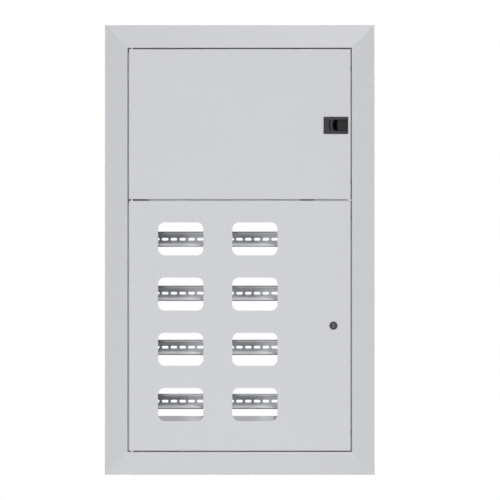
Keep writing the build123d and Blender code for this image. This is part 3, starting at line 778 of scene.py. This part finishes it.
@dataclass
class Studio:
    """Floor, light and camera."""

    distance: float = 4.0
    frame_width: float = 1.1111
    centre_px: tuple[float, float] = (239.77, 249.95)
    picture: float = 500.0
    front: float = -0.150
    floor: float = -1.5
    floor_half: float = 5.8
    floor_finish: Finish = Finish(
        "studio_floor", "floor", Tone(222, 222, 222), 0.9, mottle=0.01, relief=0.00002,
        specular=0.1, glow=0.5,
    )
    lamps: tuple[Lamp, ...] = (
        Lamp("key_left", -35.0, 10.0, 0.82, 14.0),
        Lamp("key_middle", 4.0, 27.4, 1.1, 2.5),
        Lamp("key_right", 12.0, 24.5, 0.45, 5.0),
        Lamp("fill_below", -4.0, -28.0, 0.6, 2.0),
        Lamp("side_right", 90.0, 10.0, 1.2, 20.0),
        Lamp("back", 195.0, 20.0, 1.4, 20.0),
    )
    lamp_reach: float = 3.0
    dome: float = 0.04
    backdrop: float = 1.0
    sensor: float = 36.0
    view_end: float = 60.0
    card: tuple[float, float] = (1.8, 3.6)
    card_place: tuple[float, float, float] = (0.0, -4.6, -0.35)
    card_power: float = 30.0

    def build(self) -> None:
        """Make the world, the lamps, the floor and the camera."""
        self._world()
        self._camera()
        self._floor()
        for lamp in self.lamps:
            self._hang(lamp)
        self._reflector()
        view = bpy.context.scene.view_settings
        view.view_transform = "Standard"

    def _world(self) -> None:
        """White to the eye and in reflections, and a faint glow as light."""
        world = bpy.data.worlds.new("studio_white")
        bpy.context.scene.world = world
        world.use_nodes = True
        graph = Graph(world.node_tree)
        dome = graph.add("ShaderNodeBackground")
        dome.inputs["Color"].default_value = WHITE
        dome.inputs["Strength"].default_value = self.dome
        white = graph.add("ShaderNodeBackground")
        white.inputs["Color"].default_value = WHITE
        white.inputs["Strength"].default_value = self.backdrop
        mix = graph.add("ShaderNodeMixShader")
        graph.join(graph.seen(), mix.inputs["Fac"])
        graph.join(dome.outputs[0], mix.inputs[1])
        graph.join(white.outputs[0], mix.inputs[2])
        end = graph.add("ShaderNodeOutputWorld")
        graph.join(mix.outputs[0], end.inputs["Surface"])

    def _hang(self, lamp: Lamp) -> None:
        """Hang one lamp in its direction."""
        light = bpy.data.lights.new(lamp.name, "SUN")
        light.energy = lamp.strength
        light.angle = math.radians(lamp.spread)
        holder = bpy.data.objects.new(lamp.name, light)
        bpy.context.scene.collection.objects.link(holder)
        toward = lamp.toward()
        holder.location = toward * self.lamp_reach
        holder.rotation_euler = (-toward).to_track_quat("-Z", "Y").to_euler()

    def _reflector(self) -> None:
        """Hang a bright card beside the camera that shows only as a sheen on the flat faces."""
        lamp = bpy.data.lights.new("front_card", "AREA")
        lamp.shape = "RECTANGLE"
        lamp.size, lamp.size_y = self.card
        lamp.energy = self.card_power
        holder = bpy.data.objects.new("front_card", lamp)
        bpy.context.scene.collection.objects.link(holder)
        holder.location = self.card_place
        holder.rotation_euler = (math.pi / 2, 0, 0)
        holder.visible_diffuse = False

    def _camera(self) -> None:
        """Stand the camera square to the doors, as in the photograph."""
        lens = bpy.data.cameras.new("front_camera")
        lens.sensor_fit = "HORIZONTAL"
        lens.sensor_width = self.sensor
        lens.lens = self.sensor * self.distance / self.frame_width
        lens.shift_x = 0.5 - self.centre_px[0] / self.picture
        lens.shift_y = self.centre_px[1] / self.picture - 0.5
        lens.clip_end = self.view_end
        camera = bpy.data.objects.new("front_camera", lens)
        bpy.context.scene.collection.objects.link(camera)
        camera.location = (0, self.front - self.distance, 0)
        camera.rotation_euler = (math.pi / 2, 0, 0)
        bpy.context.scene.camera = camera

    def _floor(self) -> None:
        """Lay a pale floor below the board, which lets the light from below pass."""
        shape = bmesh.new()
        bmesh.ops.create_grid(shape, x_segments=1, y_segments=1, size=self.floor_half)
        bmesh.ops.translate(shape, vec=(0, 0, self.floor), verts=shape.verts)
        mesh = bpy.data.meshes.new("studio_floor")
        shape.to_mesh(mesh)
        shape.free()
        mesh.materials.append(self.floor_finish.material())
        floor = bpy.data.objects.new("studio_floor", mesh)
        bpy.context.scene.collection.objects.link(floor)
        floor.visible_shadow = False


class StudWay(Enum):
    """Way in which an earth stud stands."""

    UP = "up"
    BACK = "back"


@dataclass
class EarthStud:
    """Threaded earth stud and its nut."""

    shop: Workshop
    body: str
    stud: str
    nut: str
    way: StudWay
    radius: float = 3 * MM
    pitch: float = 1 * MM
    nut_edge: float = 0.5 * MM

    def build(self) -> None:
        """Round the nut and cut the thread of the stud."""
        zinc = self.shop.finishes.zinc
        self.shop.soften(self.nut, self.body, zinc, self.nut_edge)
        low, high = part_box(self.stud)
        middle = (low + high) / 2
        if self.way is StudWay.UP:
            length = high.z - low.z
            place = Matrix.Translation((middle.x, middle.y, low.z))
        else:
            length = high.y - low.y
            place = Matrix.Translation((middle.x, low.y, middle.z))
            place = place @ Matrix.Rotation(-math.pi / 2, 4, "X")
        shape = bmesh.new()
        Bench.add(shape, Bench.threaded_bar(self.radius, length, self.pitch), place)
        self.shop.place(shape, self.stud + "_threaded", self.body, zinc, (self.stud,))


@dataclass
class Enclosure:
    """Frame, box, partition, uprights, hinges and buffers."""

    shop: Workshop
    edge: float = 0.25 * MM
    buffer_edge: float = 0.9 * MM

    def build(self) -> None:
        """Finish the fixed pieces."""
        finishes = self.shop.finishes
        for name in list(self.shop.nodes):
            if name.startswith("frame_"):
                self.shop.soften(name, "enclosure", finishes.paint, self.edge)
            # The partition and the cross plate take the lightened paint: painted light.
            elif name.startswith(("partition_", "cross_")):
                self.shop.soften(name, "enclosure", finishes.inner, self.edge)
            elif name.startswith(("box_wall_", "back_", "upright_")):
                self.shop.dress(name, finishes.paint)
            # The hinge plates are blackened steel. They are dark partly as painted shade in the
            # middle gap.
            elif name.startswith("hinge_plate"):
                self.shop.soften(name, "enclosure", finishes.blacked_and_gap_shade, self.edge)
        self.shop.soften("hinge_pin_middle", "enclosure", finishes.zinc, self.edge)
        self.shop.soften("door_buffers", "enclosure", finishes.rubber, self.buffer_edge)
        stud = EarthStud(self.shop, "enclosure", "box_earth_stud", "box_earth_nut", StudWay.UP)
        stud.build()


@dataclass
class Door:
    """One door pan with its hinge pin and earth stud."""

    shop: Workshop
    body: str
    pin: str
    stud: str
    nut: str
    edge: float = 0.25 * MM

    def build(self) -> None:
        """Finish the door and what is fixed to it."""
        finishes = self.shop.finishes
        self.shop.soften(self.body, self.body, finishes.paint, self.edge)
        self.shop.soften(self.pin, self.body, finishes.zinc, self.edge)
        EarthStud(self.shop, self.body, self.stud, self.nut, StudWay.BACK).build()


@dataclass
class SlideLatch:
    """Slide latch of the upper door."""

    shop: Workshop
    bezel_edge: float = 0.3 * MM
    pad_edge: float = 0.4 * MM
    metal_edge: float = 0.25 * MM
    border: float = 2.5 * MM
    skin: float = 0.8 * MM
    pocket_end: float = 2.6 * MM
    pocket_height: float = 24.4 * MM
    stop_length: float = 4.7 * MM
    stop_depths: tuple[float, float] = (7.0 * MM, 11.6 * MM)
    stop_steps: int = 2

    def build(self) -> None:
        """Finish the pieces of the latch."""
        finishes = self.shop.finishes
        housing = self.shop.soften("latch_housing", "upper_door", finishes.bezel, self.bezel_edge)
        # The walls inside the pocket are coloured near black: painted shade.
        self._paint_pocket_shade(housing, finishes.recess)
        self.shop.soften("latch_retainer", "upper_door", finishes.zinc, self.metal_edge)
        self.shop.soften("latch_slider", "upper_latch", finishes.pad, self.pad_edge)
        # The tongue is seen only through the slot in the pocket and takes the near-black finish:
        # painted shade.
        self.shop.soften("latch_tongue", "upper_latch", finishes.recess, self.bezel_edge)
        self.shop.soften("latch_screw", "upper_latch", finishes.zinc, self.metal_edge)
        self._spring_stop()

    def _paint_pocket_shade(self, housing: bpy.types.Object, finish: Finish) -> None:
        """Paint the walls of the pocket and the groove of the housing near black, as painted shade.

        Args:
            housing: The finished housing.
            finish: Near-black finish that paints the shade in the pocket.
        """
        low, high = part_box("latch_housing")
        housing.data.materials.append(finish.material())
        for face in housing.data.polygons:
            place = face.center
            inside = low.x + self.border < place.x < high.x - self.border / 2
            inside = inside and low.z + self.border < place.z < high.z - self.border
            # Faces deep inside the pocket take the near-black finish: painted shade.
            if inside and low.y + self.skin < place.y < high.y - self.skin:
                face.material_index = 1

    def _spring_stop(self) -> None:
        """Make the spring stop at the closed end of the pocket, which the thumb pad slides over."""
        low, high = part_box("latch_housing")
        near, far = self.stop_depths
        size = (self.stop_length, far - near, self.pocket_height)
        shape = bmesh.new()
        bmesh.ops.create_cube(shape, size=1.0)
        bmesh.ops.scale(shape, vec=size, verts=shape.verts)
        Bench.bevel(shape, list(shape.edges), self.bezel_edge, self.stop_steps)
        x = high.x - self.pocket_end - self.stop_length / 2
        middle = (x, low.y + (near + far) / 2, (low.z + high.z) / 2)
        bmesh.ops.translate(shape, vec=middle, verts=shape.verts)
        self.shop.place(shape, "latch_spring_stop", "upper_door", self.shop.finishes.bezel)


@dataclass
class KeyLock:
    """Key lock of the lower door.

    The rim gives the rounding of the head, as distances in from its side and back from its face.
    """

    shop: Workshop
    head_radius: float = 9.0 * MM
    head_height: float = 2.4 * MM
    rim: tuple[tuple[float, float], ...] = (
        (0.9 * MM, 0.0), (0.5 * MM, 0.15 * MM), (0.15 * MM, 0.5 * MM), (0.0, 0.95 * MM)
    )
    bore_radius: float = 6.25 * MM
    bore_edge: tuple[float, float] = (0.4 * MM, 0.3 * MM)
    barrel_radius: float = 8.0 * MM
    barrel_root: float = 7.5 * MM
    neck: float = 1.5 * MM
    neck_end: float = 1.9 * MM
    thread_bite: float = 0.05 * MM
    thread_start: float = 2 * MM
    thread_steps: int = 32
    turn_steps: int = 64
    pitch: float = 1.0 * MM
    key_width: float = 2.5 * MM
    key_height: float = 10.3 * MM
    key_depth: float = 6.0 * MM
    key_recess: float = 0.35 * MM
    shutter_border: float = 0.45 * MM
    shutter_rise: float = 0.12 * MM
    shutter_edge: float = 0.15 * MM
    shutter_angle: float = 60.0
    shutter_steps: int = 2
    metal_edge: float = 0.3 * MM

    def build(self) -> None:
        """Finish the pieces of the lock."""
        finishes = self.shop.finishes
        self._housing()
        self.shop.soften("lock_nut", "lower_door", finishes.zinc, 2 * self.metal_edge)
        self.shop.soften("lock_plug", "lower_lock", finishes.plug, self.metal_edge)
        self.shop.soften("lock_cam", "lower_lock", finishes.zinc, self.metal_edge)
        self.shop.soften("cam_screw", "lower_lock", finishes.zinc, self.metal_edge)
        self._shutter()

    def _housing(self) -> None:
        """Turn the head with its rounded rim and the threaded barrel."""
        low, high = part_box("lock_housing")
        middle = (low + high) / 2
        face = self.head_height
        length = (high.y - low.y) - self.head_height
        wide, deep = self.bore_edge
        profile = [(self.bore_radius, face - deep), (self.bore_radius + wide, face)]
        profile += [(self.head_radius - inward, face - back) for inward, back in self.rim]
        profile += [
            (self.head_radius, 0.0), (self.barrel_radius, 0.0), (self.barrel_radius, -self.neck),
            (self.barrel_root, -self.neck_end), (self.barrel_root, -length),
            (self.bore_radius, -length),
        ]
        part = Bench.turned(profile, self.turn_steps, closed=True)
        ridge = Bench.thread(
            self.barrel_radius, self.barrel_root - self.thread_bite, length - self.thread_start,
            self.pitch, self.thread_steps,
        )
        Bench.add(part, ridge, Matrix.Translation((0, 0, -length)))
        shape = bmesh.new()
        place = Matrix.Translation((middle.x, low.y + self.head_height, middle.z))
        Bench.add(shape, part, place @ Matrix.Rotation(math.pi / 2, 4, "X"))
        case = self.shop.finishes.case
        self.shop.place(shape, "lock_housing_turned", "lower_door", case, ("lock_housing",))

    def _shutter(self) -> None:
        """Make the sprung shutter that stands in the key slot."""
        low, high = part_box("lock_plug")
        middle = (low + high) / 2
        shape = bmesh.new()
        bmesh.ops.create_cube(shape, size=1.0)
        size = (self.key_width, self.key_depth, self.key_height)
        bmesh.ops.scale(shape, vec=size, verts=shape.verts)
        front = [f for f in shape.faces if f.normal.y < -0.5]
        bmesh.ops.inset_individual(
            shape, faces=front, thickness=self.shutter_border, depth=self.shutter_rise
        )
        limit = math.radians(self.shutter_angle)
        corners = [e for e in shape.edges if e.calc_face_angle() > limit]
        Bench.bevel(shape, corners, self.shutter_edge, self.shutter_steps)
        y = low.y + self.key_recess + self.key_depth / 2
        bmesh.ops.translate(shape, vec=(middle.x, y, middle.z), verts=shape.verts)
        self.shop.place(shape, "key_shutter", "lower_lock", self.shop.finishes.shutter)


def main() -> None:
    """Build the scene."""
    logging.basicConfig(level=logging.INFO, format="%(name)s: %(message)s")
    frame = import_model()
    shop = Workshop(frame["nodes"], Finishes())
    Studio().build()
    Enclosure(shop).build()
    Rails(shop).build()
    Door(shop, "upper_door", "hinge_pin_top", "upper_earth_stud", "upper_earth_nut").build()
    Door(shop, "lower_door", "hinge_pin_bottom", "lower_earth_stud", "lower_earth_nut").build()
    SlideLatch(shop).build()
    KeyLock(shop).build()
    LOG.info("%d new pieces", len(shop.made))


if __name__ == "__main__":
    main()
